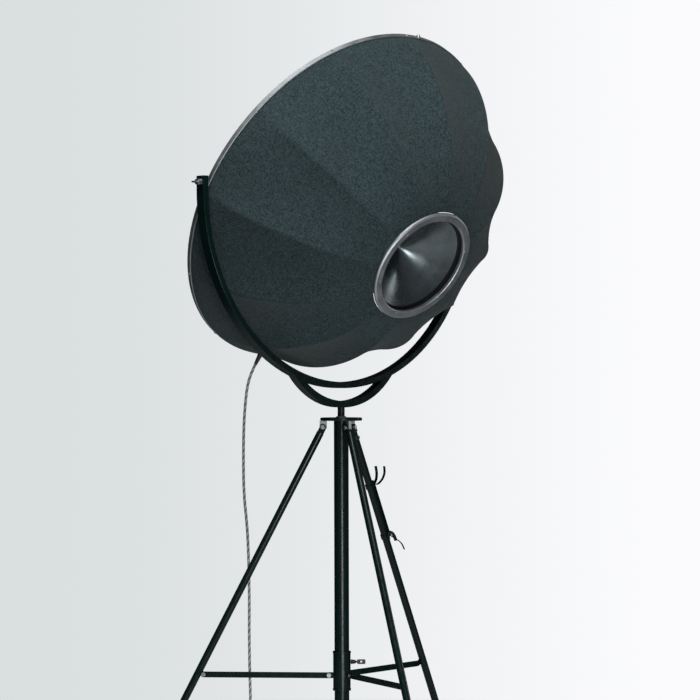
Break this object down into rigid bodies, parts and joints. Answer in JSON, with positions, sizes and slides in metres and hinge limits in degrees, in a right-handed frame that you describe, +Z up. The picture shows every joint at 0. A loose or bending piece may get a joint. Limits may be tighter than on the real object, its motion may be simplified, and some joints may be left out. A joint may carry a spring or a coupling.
{
  "type": "tripod floor lamp",
  "caption": "Tripod floor lamp: folding three-legged stand with a sliding mast, a turning yoke and a tilting umbrella-like fabric shade with a rear cone reflector.",
  "frame": {"origin": "on the floor, on the column's axis, which is the middle of the object's outline on the floor", "axes": "+Z up along the column; -X along the leg that carries the cord hooks; the shade's mouth faces about -Y (turned 9 degrees clockwise seen from above) and its cone about +Y"},
  "size_m": [1.0231, 0.8928, 1.8786],
  "materials": {
    "dark_paint": "satin",
    "bright_steel": "satin",
    "satin_aluminium": "satin",
    "spun_metal": "glossy",
    "outer_cloth": "woven",
    "inner_cloth": "woven",
    "black_plastic": "matt",
    "rubber": "matt",
    "cup_paint": "satin",
    "opal_glass": "frosted",
    "cord_braid": "braided"
  },
  "bodies": {
    "tripod": {"column_tube": "dark_paint", "column_end_cap": "black_plastic", "mast_lock_boss": "dark_paint", "top_plate": "dark_paint", "leg_tongues": "satin_aluminium", "mast_bush": "satin_aluminium", "leg_pivot_bolts": "bright_steel", "cord_lead": "cord_braid", "cord_coil": "cord_braid", "cord_tail": "cord_braid", "plug_body": "black_plastic", "plug_pins": "bright_steel"},
    "lock_screw": {"mast_lock_screw": "dark_paint"},
    "leg_a": {"leg_tube_a": "dark_paint", "leg_fork_a": "dark_paint", "foot_a": "rubber", "leg_lug_a": "dark_paint"},
    "leg_b": {"leg_tube_b": "dark_paint", "leg_fork_b": "dark_paint", "foot_b": "rubber", "leg_lug_b": "dark_paint", "hook_bracket": "dark_paint", "hook_screws": "bright_steel", "hook_upper": "dark_paint", "hook_lower": "dark_paint"},
    "leg_c": {"leg_tube_c": "dark_paint", "leg_fork_c": "dark_paint", "foot_c": "rubber", "leg_lug_c": "dark_paint"},
    "spreader": {"spreader_collar": "dark_paint", "stay_inner_pins": "bright_steel"},
    "spreader_screw": {"collar_wing_screw": "dark_paint"},
    "stay_a": {"stay_a": "dark_paint", "stay_bolt_a": "bright_steel"},
    "stay_b": {"stay_b": "dark_paint", "stay_bolt_b": "bright_steel"},
    "stay_c": {"stay_c": "dark_paint", "stay_bolt_c": "bright_steel"},
    "mast_slider": {"mast_guide": "black_plastic"},
    "yoke": {"mast_tube": "dark_paint", "yoke_arc": "dark_paint", "yoke_crescent": "dark_paint"},
    "nut_left": {"wing_nut_left": "bright_steel"},
    "nut_right": {"wing_nut_right": "bright_steel"},
    "shade": {"rim_ring": "satin_aluminium", "pivot_studs": "bright_steel", "ribs": "bright_steel", "shade_screws": "bright_steel", "shade_fabric": "outer_cloth", "shade_lining": "inner_cloth", "back_ring": "satin_aluminium", "cone_seat": "black_plastic", "reflector_cone": "spun_metal", "crossbar": "dark_paint", "crossbar_knob": "bright_steel", "strain_relief": "black_plastic", "holder_hub": "dark_paint", "lamp_holder": "black_plastic", "bulb_cup": "cup_paint", "bulb": "opal_glass"}
  },
  "joints": [
    {"name": "leg_a_fold", "type": "hinge", "parent": "tripod", "child": "leg_a", "pos_m": [0.02335, 0.04044, 0.88], "axis": [-0.866, 0.5, 0], "range_deg": [0, 23.27]},
    {"name": "leg_b_fold", "type": "hinge", "parent": "tripod", "child": "leg_b", "pos_m": [-0.0467, 0, 0.88], "axis": [0, -1, 0], "range_deg": [0, 23.27]},
    {"name": "leg_c_fold", "type": "hinge", "parent": "tripod", "child": "leg_c", "pos_m": [0.02335, -0.04044, 0.88], "axis": [0.866, 0.5, 0], "range_deg": [0, 23.27]},
    {"name": "spreader_slide", "type": "slide", "parent": "tripod", "child": "spreader", "axis": [0, 0, 1], "range_m": [0, 0.2521]},
    {"name": "stay_a_swing", "type": "hinge", "parent": "spreader", "child": "stay_a", "pos_m": [0.016, 0.02771, 0.241], "axis": [-0.866, 0.5, 0], "range_deg": [0, 81.49]},
    {"name": "stay_b_swing", "type": "hinge", "parent": "spreader", "child": "stay_b", "pos_m": [-0.032, 0, 0.241], "axis": [0, -1, 0], "range_deg": [0, 81.49]},
    {"name": "stay_c_swing", "type": "hinge", "parent": "spreader", "child": "stay_c", "pos_m": [0.016, -0.02771, 0.241], "axis": [0.866, 0.5, 0], "range_deg": [0, 81.49]},
    {"name": "spreader_screw_turn", "type": "hinge", "parent": "spreader", "child": "spreader_screw", "pos_m": [-0.01315, 0.01826, 0.275], "axis": [-0.5842, 0.8116, 0], "range_deg": [-720, 0]},
    {"name": "lock_screw_turn", "type": "hinge", "parent": "tripod", "child": "lock_screw", "pos_m": [-0.01578, 0.02191, 0.853], "axis": [-0.5842, 0.8116, 0], "range_deg": [-720, 0]},
    {"name": "mast_slide", "type": "slide", "parent": "tripod", "child": "mast_slider", "axis": [0, 0, 1], "range_m": [0, 0.48]},
    {"name": "yoke_pan", "type": "hinge", "parent": "mast_slider", "child": "yoke", "pos_m": [0, 0, 0.931], "axis": [0, 0, 1], "range_deg": [-175, 175]},
    {"name": "shade_tilt", "type": "hinge", "parent": "yoke", "child": "shade", "pos_m": [0, 0, 1.494], "axis": [0.9877, -0.1564, 0], "range_deg": [-58.3, 26]},
    {"name": "nut_left_turn", "type": "hinge", "parent": "yoke", "child": "nut_left", "pos_m": [0.48693, -0.07712, 1.494], "axis": [0.9877, -0.1564, 0], "range_deg": [-720, 0]},
    {"name": "nut_right_turn", "type": "hinge", "parent": "yoke", "child": "nut_right", "pos_m": [-0.48693, 0.07712, 1.494], "axis": [-0.9877, 0.1564, 0], "range_deg": [-720, 0]}
  ],
  "couplings": [
    {"joint": "leg_b_fold", "follows": "leg_a_fold", "ratio": 1},
    {"joint": "leg_c_fold", "follows": "leg_a_fold", "ratio": 1},
    {"joint": "spreader_slide", "follows": "leg_a_fold", "m_per_rad": 0.6195},
    {"joint": "stay_a_swing", "follows": "leg_a_fold", "ratio": 3.4997},
    {"joint": "stay_b_swing", "follows": "leg_a_fold", "ratio": 3.4997},
    {"joint": "stay_c_swing", "follows": "leg_a_fold", "ratio": 3.4997}
  ]
}
